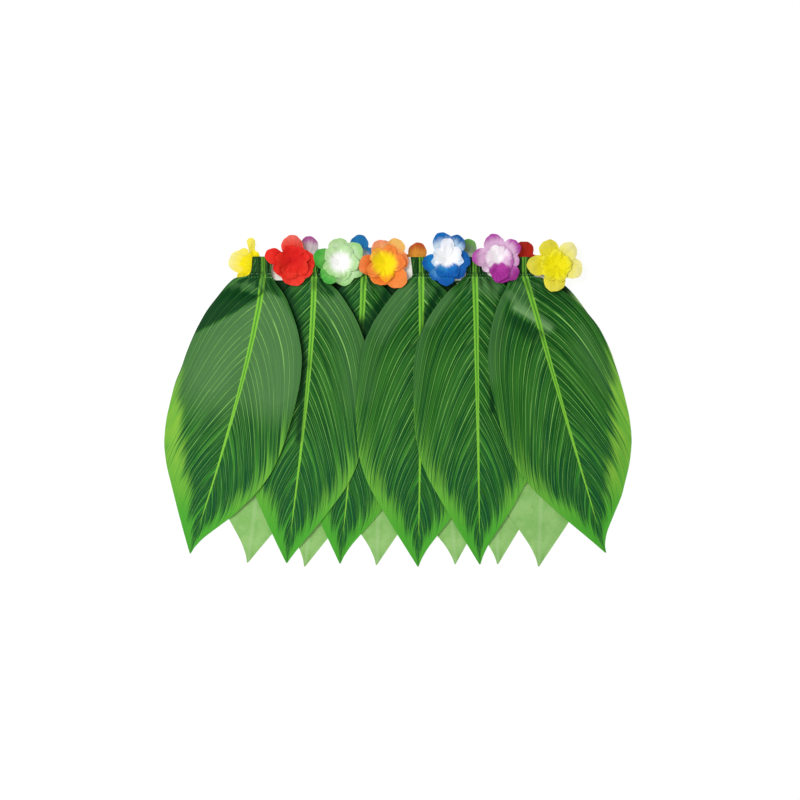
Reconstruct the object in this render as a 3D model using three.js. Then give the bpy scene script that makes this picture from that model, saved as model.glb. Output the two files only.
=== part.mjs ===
// Hula skirt of cloth leaves, laid out flat with its front up: millimetres, +Z up, the waist towards +Y.
// An elastic waistband lies folded flat. Round it are sewn twelve leaves, gathered at their tops, and between
// them twelve cloth flowers, each an outer and an inner disc of five petals. Half of the leaves and five of the
// flowers are on the back, so they lie underneath with their faces down.
import * as THREE from "three";

// Driving dimensions
const clothWall = 1; // leaves and petals
const seamGap = 0.3; // between pieces that are sewn together
const layGap = 0.7; // between pieces that lie on each other
const leafHalfWidth = 83; // midrib to margin at the widest
const leafLength = 374; // stitch line to tip
const pleatCount = 4; // gathers across the top of a leaf
const bandLength = 402; // folded flat, end to end
const bandHeight = 30;
const bandWall = 1.2;
const bandSlot = 0.6; // between its back run and its front run
const bandCentreX = 8;
const bandTopEdge = 185; // Y of the band's upper edge
const bandUnderside = 8; // Z of its back run's outer face
const stitchDrop = 23; // the gathering stitches, below the band's upper edge
const petals = 5;
const flowerReach = 33.5; // radius of the outer disc at a petal's end
const pressed = 1.8; // how much more steeply than its cup a flower on the back reaches the floor

const bandFace = bandUnderside + 2 * bandWall + bandSlot; // Z of the front run's outer face
const stitchY = bandTopEdge - stitchDrop;
const bandEdgeShare = (bandHeight - stitchDrop) / leafLength; // of a leaf's length, at the band's lower edge

// Rows down a leaf, from the band's upper edge to the tip. share: of the leaf's length below the stitches;
// half: of the full half width; shoulder: what a full shoulder adds to that; pleat: height of the gathers each
// way; puff: how far the cloth stands up.
const leafRows = [
  { share: -stitchDrop / leafLength, half: 0.155, columns: 16, shoulder: 0, pleat: 1.1, puff: 0 },
  { share: 0, half: 0.127, columns: 16, shoulder: 0.02, pleat: 0.8, puff: 0 },
  { share: bandEdgeShare, half: 0.22, columns: 16, shoulder: 0.2, pleat: 1.2, puff: 1 },
  { share: 0.05, half: 0.39, columns: 16, shoulder: 0.25, pleat: 1.9, puff: 3.5 },
  { share: 0.095, half: 0.57, columns: 12, shoulder: 0.2, pleat: 1.4, puff: 4.5 },
  { share: 0.16, half: 0.775, columns: 8, shoulder: 0.12, pleat: 0.5, puff: 4 },
  { share: 0.24, half: 0.93, columns: 8, shoulder: 0.04, pleat: 0, puff: 2.4 },
  { share: 0.33, half: 0.99, columns: 8, shoulder: 0, pleat: 0, puff: 1.2 },
  { share: 0.42, half: 1, columns: 8, shoulder: 0, pleat: 0, puff: 0.8 },
  { share: 0.52, half: 0.985, columns: 8, shoulder: 0, pleat: 0, puff: 0.5 },
  { share: 0.61, half: 0.925, columns: 8, shoulder: 0, pleat: 0, puff: 0.5 },
  { share: 0.69, half: 0.8, columns: 8, shoulder: 0, pleat: 0, puff: 0.4 },
  { share: 0.77, half: 0.61, columns: 6, shoulder: 0, pleat: 0, puff: 0.4 },
  { share: 0.85, half: 0.405, columns: 4, shoulder: 0, pleat: 0, puff: 0.2 },
  { share: 0.93, half: 0.19, columns: 2, shoulder: 0, pleat: 0, puff: 0 },
  { share: 1, half: 0, columns: 0, shoulder: 0, pleat: 0, puff: 0 },
];

// Leaves in the order in which they are laid. rootX: of the stitches; leanX: of the midrib three tenths of the
// way down; left, right: width of each half; droop: how far the widest part has slid towards the tip;
// leftShoulder, rightShoulder: how full the half is below the stitches.
const plainLeaf = { left: 1, right: 1, droop: 0.02, leftShoulder: 0, rightShoulder: 0 };
const backLeaves = [
  { ...plainLeaf, name: "leaf_back_2", rootX: 122, leanX: 123, tipX: 127, tipY: -212 },
  { ...plainLeaf, name: "leaf_back_4", rootX: -17, leanX: -20, tipX: -30, tipY: -213 },
  { ...plainLeaf, name: "leaf_back_6", rootX: -154, leanX: -160, tipX: -197, tipY: -210 },
  { ...plainLeaf, name: "leaf_back_3", rootX: 50, leanX: 55, tipX: 72, tipY: -212 },
  { ...plainLeaf, name: "leaf_back_5", rootX: -82, leanX: -90, tipX: -123, tipY: -215 },
  { ...plainLeaf, name: "leaf_back_1", rootX: 189, leanX: 190, tipX: 180, tipY: -215 },
];
const frontLeaves = [
  { ...plainLeaf, name: "leaf_front_3", rootX: -46, leanX: -49, tipX: -77, tipY: -211, left: 0.95 },
  { ...plainLeaf, name: "leaf_front_2", rootX: -110, leanX: -110, tipX: -146, tipY: -210, right: 0.96, droop: 0.03 },
  {
    ...plainLeaf,
    ...{ name: "leaf_front_1", rootX: -175, leanX: -187, tipX: -271, tipY: -198 },
    ...{ left: 1.01, right: 0.9, droop: 0.035, leftShoulder: 1 },
  },
  { ...plainLeaf, name: "leaf_front_4", rootX: 28, leanX: 29, tipX: 24, tipY: -215, droop: 0.035 },
  { ...plainLeaf, name: "leaf_front_5", rootX: 97, leanX: 100, tipX: 104, tipY: -212, droop: 0 },
  {
    ...plainLeaf,
    ...{ name: "leaf_front_6", rootX: 161, leanX: 192, tipX: 266, tipY: -197 },
    ...{ left: 1.02, right: 0.98, droop: 0.03, rightShoulder: 0.3 },
  },
];

// Flowers. turn: direction of one petal, in degrees; slope: how steeply the free half droops.
const backFlowers = [
  { name: "flower_back_purple", x: -117, y: 179, turn: 90 },
  { name: "flower_back_blue", x: -52, y: 181, turn: 90 },
  { name: "flower_back_orange", x: 21, y: 171, turn: 84 },
  { name: "flower_back_green", x: 86, y: 176, turn: 85 },
  { name: "flower_back_red", x: 160, y: 173, turn: 86 },
];
const foldFlower = { name: "flower_fold_yellow", x: -188, y: 174, turn: 90, slope: 0.45 };
const frontFlowers = [
  { name: "flower_front_red", x: -138, y: 180, turn: 93 },
  { name: "flower_front_green", x: -76, y: 178, turn: 95 },
  { name: "flower_front_orange", x: -19, y: 176, turn: 110 },
  { name: "flower_front_blue", x: 61, y: 182, turn: 51 },
  { name: "flower_front_purple", x: 127, y: 183, turn: 47 },
  { name: "flower_front_yellow", x: 201, y: 173, turn: 48 },
];

// The two discs of a flower. reach: radius at a petal's end; points: round the rim, for each petal; rings: as
// shares of the radius; lift: of the middle off the band; cup: how far the rim stands beyond what is under it.
const outerDisc = {
  part: "outer",
  reach: flowerReach,
  points: 5,
  rings: [0.33, 0.68, 1],
  lift: seamGap,
  cup: 9,
  turn: 0,
};
const innerDisc = {
  part: "inner",
  reach: 0.62 * flowerReach,
  points: 4,
  rings: [0.5, 1],
  lift: seamGap + clothWall + layGap,
  cup: 3.5,
  turn: 180 / petals,
};

const colours = {
  leaf: 0x2f7a2c,
  leafBack: 0x8fbb76,
  band: 0xf4f4ef,
  red: 0xe0301c,
  green: 0xa5d284,
  orange: 0xf28a35,
  blue: 0x1565b5,
  purple: 0xb24aa2,
  yellow: 0xf1e22c,
};

function clothMaterial(colour) {
  return new THREE.MeshStandardMaterial({ color: colour, roughness: 0.55, metalness: 0 });
}

function smoothStep(x) {
  return THREE.MathUtils.smoothstep(x, 0, 1);
}

// A height map of all that has been laid so far, in square cells, over a floor at zero.
class Heap {
  constructor() {
    this.cell = 3;
    this.halfX = 345;
    this.halfY = 255;
    this.columns = (2 * this.halfX) / this.cell;
    this.rows = (2 * this.halfY) / this.cell;
    this.top = new Float64Array(this.columns * this.rows);
  }

  index(x, y) {
    const column = Math.floor((x + this.halfX) / this.cell);
    const row = Math.floor((y + this.halfY) / this.cell);
    return row * this.columns + column;
  }

  // Raises the cells under a triangulated sheet to its upper face.
  add(points, triangles, wall) {
    const place = new THREE.Vector3();
    for (const [a, b, c] of triangles) {
      const [p, q, r] = [points[a], points[b], points[c]];
      const steps = Math.ceil((2 * Math.max(p.distanceTo(q), q.distanceTo(r), r.distanceTo(p))) / this.cell);
      for (let i = 0; i <= steps; i++) {
        for (let j = 0; j <= steps - i; j++) {
          place.set(0, 0, 0);
          place.addScaledVector(p, i / steps);
          place.addScaledVector(q, j / steps);
          place.addScaledVector(r, (steps - i - j) / steps);
          const cell = this.index(place.x, place.y);
          this.top[cell] = Math.max(this.top[cell], place.z + wall / 2);
        }
      }
    }
  }

  // A field made from another by combining the cells within a radius.
  overDisc(field, radius, combine) {
    const reach = Math.floor(radius / this.cell);
    const offsets = [];
    for (let dy = -reach; dy <= reach; dy++) {
      for (let dx = -reach; dx <= reach; dx++) {
        if (Math.hypot(dx, dy) * this.cell <= radius) offsets.push([dx, dy]);
      }
    }
    const made = new Float64Array(field.length);
    for (let row = reach; row < this.rows - reach; row++) {
      for (let column = reach; column < this.columns - reach; column++) {
        const near = offsets.map(([dx, dy]) => field[(row + dy) * this.columns + column + dx]);
        made[row * this.columns + column] = combine(near);
      }
    }
    return made;
  }

  // The height at which a cloth lies: over everything within its reach, rounded as stiffly as the cloth bends.
  bed(reach, bend) {
    const highest = this.overDisc(this.top, reach, (near) => Math.max(...near));
    const smooth = this.overDisc(highest, bend, (near) => near.reduce((sum, z) => sum + z, 0) / near.length);
    return (x, y) => {
      const u = (x + this.halfX) / this.cell - 0.5;
      const v = (y + this.halfY) / this.cell - 0.5;
      const [column, row] = [Math.floor(u), Math.floor(v)];
      const at = (dx, dy) => smooth[(row + dy) * this.columns + column + dx];
      const lower = THREE.MathUtils.lerp(at(0, 0), at(1, 0), u - column);
      const upper = THREE.MathUtils.lerp(at(0, 1), at(1, 1), u - column);
      return THREE.MathUtils.lerp(lower, upper, v - row);
    };
  }
}

// Closes a sheet into a wall: its points moved out along their normals on both sides, and a rim round its edge.
function wallGeometry(points, triangles, wall) {
  const normals = points.map(() => new THREE.Vector3());
  for (const [a, b, c] of triangles) {
    const ab = new THREE.Vector3().subVectors(points[b], points[a]);
    const face = new THREE.Vector3().subVectors(points[c], points[a]);
    face.crossVectors(ab, face);
    for (const corner of [a, b, c]) normals[corner].add(face);
  }
  const corners = [];
  for (const side of [1, -1]) {
    points.forEach((point, i) => {
      corners.push(point.clone().addScaledVector(normals[i].normalize(), (side * wall) / 2));
    });
  }
  const under = points.length;
  const faces = [];
  const edges = new Map();
  for (const [a, b, c] of triangles) {
    faces.push(a, b, c, a + under, c + under, b + under);
    for (const [from, to] of [[a, b], [b, c], [c, a]]) {
      const shared = edges.delete(to + "-" + from);
      if (!shared) edges.set(from + "-" + to, [from, to]);
    }
  }
  for (const [from, to] of edges.values()) {
    faces.push(to, from, from + under, to, from + under, to + under);
  }
  const geometry = new THREE.BufferGeometry().setFromPoints(corners);
  geometry.setIndex(faces);
  return geometry;
}

function meshOf(name, sheet, colour) {
  const mesh = new THREE.Mesh(wallGeometry(sheet.points, sheet.triangles, clothWall), clothMaterial(colour));
  mesh.name = name;
  return mesh;
}

// Joins two rows of a sheet, which may have different numbers of points, with triangles that face up.
function zipRows(upper, lower) {
  const triangles = [];
  let [i, j] = [0, 0];
  while (i < upper.length - 1 || j < lower.length - 1) {
    const upperIsNext =
      j === lower.length - 1 || (i < upper.length - 1 && upper[i + 1].across <= lower[j + 1].across);
    const next = upperIsNext ? upper[i + 1] : lower[j + 1];
    triangles.push([upper[i].index, lower[j].index, next.index]);
    if (upperIsNext) i++;
    else j++;
  }
  return triangles;
}

// One leaf as a sheet of points. It is held on the band's face on its side, and lies on the heap from there on:
// closely in its gathers, more stiffly below them.
function leafSheet(leaf, side) {
  const gathered = heap.bed(12, 6);
  const smooth = heap.bed(27, 6);
  const root = new THREE.Vector2(leaf.rootX, stitchY);
  const tip = new THREE.Vector2(leaf.tipX, leaf.tipY);
  const lean = new THREE.Vector2(leaf.leanX, THREE.MathUtils.lerp(stitchY, leaf.tipY, 0.3));
  const midrib = new THREE.QuadraticBezierCurve(root, lean, tip);
  const heldZ = bandUnderside - layGap - clothWall / 2;
  const points = [];
  const rows = leafRows.map((row) => {
    const made = [];
    const bed = row.share < 0.1 ? gathered : smooth;
    const onBand = row.share < 0;
    const centre = onBand ? new THREE.Vector2(leaf.rootX, bandTopEdge) : midrib.getPointAt(row.share);
    const along = onBand ? new THREE.Vector2(0, -1) : midrib.getTangentAt(row.share);
    for (let i = 0; i <= row.columns; i++) {
      const across = row.columns ? (2 * i) / row.columns - 1 : 0;
      const half = halfWidthAt(row.share, leaf, across);
      const x = centre.x - along.y * across * half;
      const y = centre.y + along.x * across * half;
      const pleat = side > 0 ? row.pleat : 0.4 * row.pleat;
      const wave = pleat * Math.cos(Math.PI * pleatCount * (across + 1));
      const gap = row.share > bandEdgeShare ? layGap : seamGap;
      const lying = bed(x, y) + (bed(x, y) > 0 ? gap : 0) + clothWall / 2 + pleat;
      const crown = row.puff * (1 - across * across);
      const held = (heldZ - pleat) * (1 - smoothStep((row.share - bandEdgeShare) / 0.06));
      const z = side > 0 ? lying + crown : row.share > bandEdgeShare ? Math.max(lying, held) : held;
      made.push({ index: points.length, across });
      points.push(new THREE.Vector3(x, y, z + wave));
    }
    return made;
  });
  const triangles = rows.slice(1).flatMap((row, i) => zipRows(rows[i], row));
  return { points, triangles };
}

// Half width of a leaf in millimetres, read between the rows, with the widest part slid down by the droop.
function halfWidthAt(share, leaf, across) {
  const slid = share <= 0 ? share : share - leaf.droop * Math.sin(Math.PI * share);
  const after = Math.max(1, leafRows.findIndex((row) => row.share >= slid));
  const [above, below] = [leafRows[after - 1], leafRows[after]];
  const part = (slid - above.share) / (below.share - above.share);
  const half = THREE.MathUtils.lerp(above.half, below.half, part);
  const shoulder = THREE.MathUtils.lerp(above.shoulder, below.shoulder, part);
  if (across < 0) return leafHalfWidth * (half * leaf.left + shoulder * leaf.leftShoulder);
  return leafHalfWidth * (half * leaf.right + shoulder * leaf.rightShoulder);
}

// Radius of a disc of petals in a direction measured from a petal's middle: the outer edge of a round lobe.
function petalRadius(reach, angle) {
  const lobe = 0.385 * reach;
  const lobeCentre = reach - lobe;
  const turn = (2 * Math.PI) / petals;
  const off = angle - turn * Math.round(angle / turn);
  return lobeCentre * Math.cos(off) + Math.sqrt(lobe ** 2 - (lobeCentre * Math.sin(off)) ** 2);
}

// One disc of petals as a sheet, its middle at zero and its cup opening upwards.
function discSheet(disc) {
  const count = petals * disc.points;
  const points = [new THREE.Vector3(0, 0, 0)];
  const triangles = [];
  disc.rings.forEach((ring, k) => {
    for (let i = 0; i < count; i++) {
      const angle = (2 * Math.PI * i) / count;
      const radius = ring * petalRadius(disc.reach, angle + Math.PI / petals);
      const wave = 1 + 0.12 * Math.cos(petals * (angle + Math.PI / petals));
      const z = disc.cup * (radius / disc.reach) ** 1.5 * wave;
      points.push(new THREE.Vector3(radius * Math.cos(angle), radius * Math.sin(angle), z));
      const here = 1 + k * count + i;
      const next = 1 + k * count + ((i + 1) % count);
      if (k === 0) triangles.push([0, here, next]);
      else triangles.push([here - count, here, next], [here - count, next, next - count]);
    }
  });
  return { points, triangles };
}

function turned(sheet, flower, disc) {
  const angle = THREE.MathUtils.degToRad(flower.turn + disc.turn + 180 / petals);
  sheet.points.forEach((point) => point.applyAxisAngle(new THREE.Vector3(0, 0, 1), angle));
  return sheet;
}

// The outer disc on the front run: it stands on the band, and its petals lie over what they reach.
function frontDisc(flower, bed) {
  const sheet = turned(discSheet(outerDisc), flower, outerDisc);
  for (const point of sheet.points) {
    point.add(new THREE.Vector3(flower.x, flower.y, bandFace + outerDisc.lift + clothWall / 2));
    point.z = Math.max(point.z, bed(point.x, point.y) + layGap + clothWall / 2);
  }
  return sheet;
}

// The inner disc lies on the outer one, cupped a little more.
function discOn(outer, flower) {
  const sheet = turned(discSheet(innerDisc), flower, innerDisc);
  for (const point of sheet.points) {
    point.x += flower.x;
    point.y += flower.y;
    point.z += heightOn(outer, point) + clothWall + layGap;
  }
  return sheet;
}

// The height of a sheet above a place, read on the triangle there.
function heightOn(sheet, place) {
  const weights = new THREE.Vector3();
  for (const corners of sheet.triangles) {
    const [a, b, c] = corners.map((i) => sheet.points[i].clone().setZ(0));
    THREE.Triangle.getBarycoord(place.clone().setZ(0), a, b, c, weights);
    if (Math.min(...weights.toArray()) < -1e-6) continue;
    return weights.dot(new THREE.Vector3(...corners.map((i) => sheet.points[i].z)));
  }
  throw new Error("no cloth there");
}

// A disc on the back run: it opens downwards, and its petals are pressed flat on what is under them.
function backDisc(flower, disc, bed) {
  const sheet = turned(discSheet(disc), flower, disc);
  for (const point of sheet.points) {
    point.x += flower.x;
    point.y += flower.y;
    const under = bed(point.x, point.y);
    const floorZ = under + (under > 0 ? layGap : 0) + clothWall / 2;
    const hanging = bandUnderside - disc.lift - clothWall / 2 - pressed * point.z;
    point.z = Math.max(hanging, floorZ);
  }
  return sheet;
}

// The outer disc on the band's left fold: its right half is pressed under a leaf's top, its left half droops
// from the fold, and its upper petal is folded lengthwise.
function foldDisc(flower, bed) {
  const sheet = turned(discSheet(outerDisc), flower, outerDisc);
  for (const point of sheet.points) {
    const free = smoothStep((-2 * point.x) / flowerReach);
    const folded = smoothStep((point.y - 0.45 * flowerReach) / (0.4 * flowerReach));
    const z = bandFace + outerDisc.lift + clothWall / 2 + free * (point.z - flower.slope * Math.abs(point.x));
    const crease = 0.5 * folded * Math.abs(point.x);
    point.set(point.x * (1 - 0.5 * folded) + flower.x, point.y + flower.y, 0);
    point.z = Math.max(z, bed(point.x, point.y) + layGap + clothWall / 2) + crease;
  }
  return sheet;
}

// The elastic, folded flat: a long ring with round ends, as tall as the band.
function waistband() {
  const radius = bandWall + bandSlot / 2;
  const straight = bandLength / 2 - radius;
  const loop = (shape, r) => {
    shape.absarc(straight, 0, r, -Math.PI / 2, Math.PI / 2, false);
    shape.absarc(-straight, 0, r, Math.PI / 2, (3 * Math.PI) / 2, false);
    shape.closePath();
    return shape;
  };
  const ring = loop(new THREE.Shape(), radius);
  ring.holes.push(loop(new THREE.Path(), bandSlot / 2));
  const settings = { depth: bandHeight, bevelEnabled: false, curveSegments: 6 };
  const geometry = new THREE.ExtrudeGeometry(ring, settings);
  const band = new THREE.Mesh(geometry, clothMaterial(colours.band));
  band.name = "waistband";
  band.rotation.x = Math.PI / 2;
  band.position.set(bandCentreX, bandTopEdge, bandUnderside + radius);
  return band;
}

function colourOf(flower) {
  return colours[flower.name.split("_").pop()];
}

const skirt = new THREE.Group();
const heap = new Heap();

function lay(name, sheet, colour) {
  heap.add(sheet.points, sheet.triangles, clothWall);
  skirt.add(meshOf(name, sheet, colour));
}

for (const disc of [innerDisc, outerDisc]) {
  const bed = heap.bed(6, 3);
  for (const flower of backFlowers) {
    lay(flower.name + "_" + disc.part, backDisc(flower, disc, bed), colourOf(flower));
  }
}
for (const leaf of backLeaves) {
  lay(leaf.name, leafSheet(leaf, -1), colours.leafBack);
}

const band = waistband();
skirt.add(band);
const bandCorners = [-1, 1].flatMap((sideX) =>
  [bandTopEdge, bandTopEdge - bandHeight].map(
    (y) => new THREE.Vector3(bandCentreX + (sideX * bandLength) / 2, y, bandFace),
  ),
);
heap.add(bandCorners, [[0, 1, 2], [1, 2, 3]], 0);

const foldOuter = foldDisc(foldFlower, heap.bed(9, 3));
lay(foldFlower.name + "_outer", foldOuter, colourOf(foldFlower));
lay(foldFlower.name + "_inner", discOn(foldOuter, foldFlower), colourOf(foldFlower));
for (const leaf of frontLeaves) {
  lay(leaf.name, leafSheet(leaf, 1), colours.leaf);
}
const outers = frontFlowers.map((flower) => {
  const sheet = frontDisc(flower, heap.bed(12, 4));
  lay(flower.name + "_outer", sheet, colourOf(flower));
  return sheet;
});
frontFlowers.forEach((flower, i) => {
  lay(flower.name + "_inner", discOn(outers[i], flower), colourOf(flower));
});

// The origin is under the middle of the whole.
const bounds = new THREE.Box3().setFromObject(skirt, true);
const middle = bounds.getCenter(new THREE.Vector3());
skirt.position.set(-middle.x, -middle.y, -bounds.min.z);

export default skirt;
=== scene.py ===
# Hula skirt laid flat with its front up: cloth leaves and cloth flowers sewn on to an elastic waistband.
import itertools
import math

import bpy
import numpy as np
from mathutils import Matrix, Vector
from mathutils.bvhtree import BVHTree


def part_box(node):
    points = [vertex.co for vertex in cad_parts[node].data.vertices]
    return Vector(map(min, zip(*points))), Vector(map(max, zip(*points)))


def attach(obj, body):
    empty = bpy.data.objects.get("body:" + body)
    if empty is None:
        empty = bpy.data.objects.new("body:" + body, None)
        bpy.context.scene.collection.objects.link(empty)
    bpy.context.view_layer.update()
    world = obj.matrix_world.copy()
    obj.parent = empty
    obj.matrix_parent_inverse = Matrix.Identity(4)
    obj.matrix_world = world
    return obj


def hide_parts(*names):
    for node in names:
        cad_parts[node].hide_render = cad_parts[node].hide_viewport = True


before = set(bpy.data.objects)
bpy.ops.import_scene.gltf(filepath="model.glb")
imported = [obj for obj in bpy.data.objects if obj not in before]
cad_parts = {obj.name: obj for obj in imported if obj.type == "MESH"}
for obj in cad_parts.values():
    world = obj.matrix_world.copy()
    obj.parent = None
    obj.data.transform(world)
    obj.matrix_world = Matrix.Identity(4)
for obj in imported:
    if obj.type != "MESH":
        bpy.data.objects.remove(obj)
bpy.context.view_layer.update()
mm = 0.001

# Places below are in millimetres from the middle of the table; the frame's own middle is a little off it.
bandLow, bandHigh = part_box("waistband")
band = {
    "centreX": 8,
    "top": 185,
    "height": 30,
    "length": 402,  # folded flat
    "underside": 8,  # height of its lower layer above the floor
    "wall": 1.2,
    "fold": 1.5,  # radius of the folds at its ends
    "ribPitch": 2.0,
    "ribDepth": 0.12,
    "ribRoom": 0.25,  # what the ribs take of the wall
}
tableShift = np.array([(bandLow.x + bandHigh.x) / 2 - band["centreX"] * mm, bandHigh.y - band["top"] * mm])
bandFace = bandHigh.z / mm
bandBottom = band["top"] - band["height"]
stitchY = 162  # the row of stitches that gathers the leaves
layGap = 0.15  # between a sheet and what it lies on


def paint(code):
    # A colour as it looks on a screen, such as 1e5523, as the shader wants it.
    values = [int(code[i : i + 2], 16) / 255 for i in (0, 2, 4)]
    return [v / 12.92 if v <= 0.04045 else ((v + 0.055) / 1.055) ** 2.4 for v in values] + [1.0]


def ease(x, low=0.0, high=1.0):
    t = np.clip((np.asarray(x, float) - low) / (high - low), 0, 1)
    return t * t * (3 - 2 * t)


def curveThrough(xs, ys):
    # A smooth curve through a column of a table, with no overshoot between its rows.
    xs, ys = np.asarray(xs, float), np.asarray(ys, float)
    step, rise = np.diff(xs), np.diff(ys) / np.diff(xs)
    slope = np.zeros(len(xs))
    for i in range(1, len(xs) - 1):
        if rise[i - 1] * rise[i] > 0:
            a, b = 2 * step[i] + step[i - 1], step[i] + 2 * step[i - 1]
            slope[i] = (a + b) / (a / rise[i - 1] + b / rise[i])
    slope[0], slope[-1] = rise[0], rise[-1]

    def at(x):
        x = np.clip(x, xs[0], xs[-1])
        i = np.clip(np.searchsorted(xs, x, side="right") - 1, 0, len(step) - 1)
        t = (x - xs[i]) / step[i]
        left = ys[i] * (1 + 2 * t) * (1 - t) ** 2 + slope[i] * step[i] * t * (1 - t) ** 2
        right = ys[i + 1] * t * t * (3 - 2 * t) + slope[i + 1] * step[i] * t * t * (t - 1)
        return left + right

    return at


def table(columns, *rows):
    # Rows of values under named columns.
    return [dict(zip(columns.split(), row)) for row in rows]


def link(name, data):
    thing = bpy.data.objects.new(name, data)
    bpy.context.collection.objects.link(thing)
    return thing


def sewOn(piece, node=None):
    # Every piece rides on the one body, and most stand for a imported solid.
    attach(piece, "root")
    if node:
        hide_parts(node)


class Pile:
    # The height of all that has been laid so far, in small square cells, over a floor at zero.
    def __init__(self, cell=2.0, halfX=350, halfY=260):
        self.cell, self.halfX, self.halfY = cell, halfX, halfY
        self.top = np.zeros((int(2 * halfY / cell), int(2 * halfX / cell)))

    def cells(self, x, y):
        row = ((y + self.halfY) / self.cell).astype(int)
        column = ((x + self.halfX) / self.cell).astype(int)
        return np.clip(row, 1, self.top.shape[0] - 2), np.clip(column, 1, self.top.shape[1] - 2)

    def under(self, x, y):
        row, column = self.cells(x, y)
        near = [self.top[row + i, column + j] for i in (-1, 0, 1) for j in (-1, 0, 1)]
        return np.max(near, axis=0)

    def add(self, sheet, wall):
        fine = sheet
        for axis in (0, 1):
            count = fine.shape[axis]
            at = np.linspace(0, count - 1, 4 * (count - 1) + 1)
            low = np.clip(at.astype(int), 0, count - 2)
            part = (at - low).reshape([-1 if i == axis else 1 for i in range(3)])
            fine = np.take(fine, low, axis) * (1 - part) + np.take(fine, low + 1, axis) * part
        row, column = self.cells(fine[..., 0], fine[..., 1])
        np.maximum.at(self.top, (row, column), fine[..., 2] + wall / 2)


pile = Pile()
solidWall = 1.0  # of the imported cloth


def softened(values, times, rolled=False):
    # Evens out a grid of numbers. A rolled grid closes on itself across its columns.
    for _ in range(times):
        padded = np.pad(values, ((1, 1), (0, 0)), mode="edge")
        values = (padded[:-2] + 2 * values + padded[2:]) / 4
        padded = np.pad(values, ((0, 0), (1, 1)), mode="wrap" if rolled else "edge")
        values = (padded[:, :-2] + 2 * values + padded[:, 2:]) / 4
    return values


def nodeHeight(node, x, y):
    # The middle of a packed cloth solid's wall above each place, in millimetres.
    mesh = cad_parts[node].data
    corners = [v.co.copy() for v in mesh.vertices]
    tree = BVHTree.FromPolygons(corners, [list(p.vertices) for p in mesh.polygons])
    down = Vector((0, 0, -1))
    height = np.zeros(x.shape)
    for i in np.ndindex(x.shape):
        place = Vector((x[i] * mm + tableShift[0], y[i] * mm + tableShift[1], 1))
        hit = tree.ray_cast(place, down)[0]
        if hit is None:
            place.z = 6 * mm
            hit = tree.find_nearest(place)[0]
        height[i] = hit.z / mm - solidWall / 2
    return height


def settle(x, y, z, wall, rolled=False):
    # Lifts a sheet clear of the pile, as softly as cloth bends.
    least = pile.under(x, y) + layGap + wall / 2
    for _ in range(3):
        z = z + softened(np.maximum(least - z, 0), 3, rolled)
    return np.maximum(z, least)


def wallMesh(name, points, faces, wall, cut, attributes):
    # Closes a sheet into a thin wall. The upper face has the first material and the lower one the second.
    points = np.asarray(points, float)
    normals = np.zeros_like(points)
    for face in faces:
        a, b, c = points[face[0]], points[face[1]], points[face[2]]
        normal = np.cross(b - a, c - a)
        for corner in face:
            normals[corner] += normal
    normals /= np.maximum(np.linalg.norm(normals, axis=1, keepdims=True), 1e-12)
    upper, lower = points + normals * wall / 2, points - normals * wall / 2
    count = len(points)
    edges = {}
    for face in faces:
        for a, b in zip(face, face[1:] + face[:1]):
            if (b, a) in edges:
                del edges[(b, a)]
            else:
                edges[(a, b)] = True
    below = [[corner + count for corner in reversed(face)] for face in faces]
    rim = [[b, a, a + count, b + count] for a, b in edges]
    corners = np.concatenate([upper, lower])
    corners[:, :2] = corners[:, :2] * mm + tableShift
    corners[:, 2] *= mm
    mesh = bpy.data.meshes.new(name)
    mesh.from_pydata(corners.tolist(), [], faces + below + rim)
    side = [0] * len(faces) + [1] * len(below) + [0] * len(rim)
    mesh.polygons.foreach_set("material_index", side)
    mesh.polygons.foreach_set("use_smooth", [True] * len(side))
    loops = np.zeros(len(mesh.loops), int)
    mesh.loops.foreach_get("vertex_index", loops)
    uv = mesh.uv_layers.new(name="cut")
    uv.data.foreach_set("uv", np.asarray(cut, float)[loops % count].ravel())
    for label, (kind, values) in attributes.items():
        layer = mesh.attributes.new(label, kind, "POINT")
        values = np.concatenate([values, values]).astype(float)
        layer.data.foreach_set("color" if kind == "FLOAT_COLOR" else "vector", values.ravel())
    mesh.set_sharp_from_angle(angle=math.radians(50))
    mesh.update()
    return link(name, mesh)


def gridFaces(rows, columns):
    return [
        [i * columns + j, (i + 1) * columns + j, (i + 1) * columns + j + 1, i * columns + j + 1]
        for i in range(rows - 1)
        for j in range(columns - 1)
    ]


leafCut = {
    "halfWidth": 83,
    "length": 374,  # below the stitches
    "above": 23,
    "wall": 0.45,
    "front": (81, 176),  # columns and rows of points
    "back": (49, 120),
}

# share: of the length below the stitches; half: of the half width; shoulder: what a full shoulder adds.
leafRows = table(
    "share half shoulder",
    (-0.0615, 0.165, 0), (0, 0.135, 0.08), (0.0187, 0.22, 0.2),
    (0.05, 0.39, 0.16), (0.095, 0.57, 0.11), (0.16, 0.775, 0.04),
    (0.24, 0.93, -0.02), (0.33, 0.99, -0.03), (0.42, 1, 0),
    (0.52, 0.985, 0), (0.61, 0.925, 0), (0.69, 0.8, 0),
    (0.77, 0.61, 0), (0.85, 0.405, 0), (0.93, 0.19, 0),
    (1, 0.006, 0),
)

# How a margin bows in before the tip.
hookRows = table("share hook", (0, 0), (0.8, 0), (0.87, 0.6), (0.93, 1), (0.97, 0.7), (1, 0))


def columnCurve(rows, column):
    return curveThrough([row["share"] for row in rows], [row[column] for row in rows])


halfAt = columnCurve(leafRows, "half")
shoulderAt = columnCurve(leafRows, "shoulder")
hookAt = columnCurve(hookRows, "hook")

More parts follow.
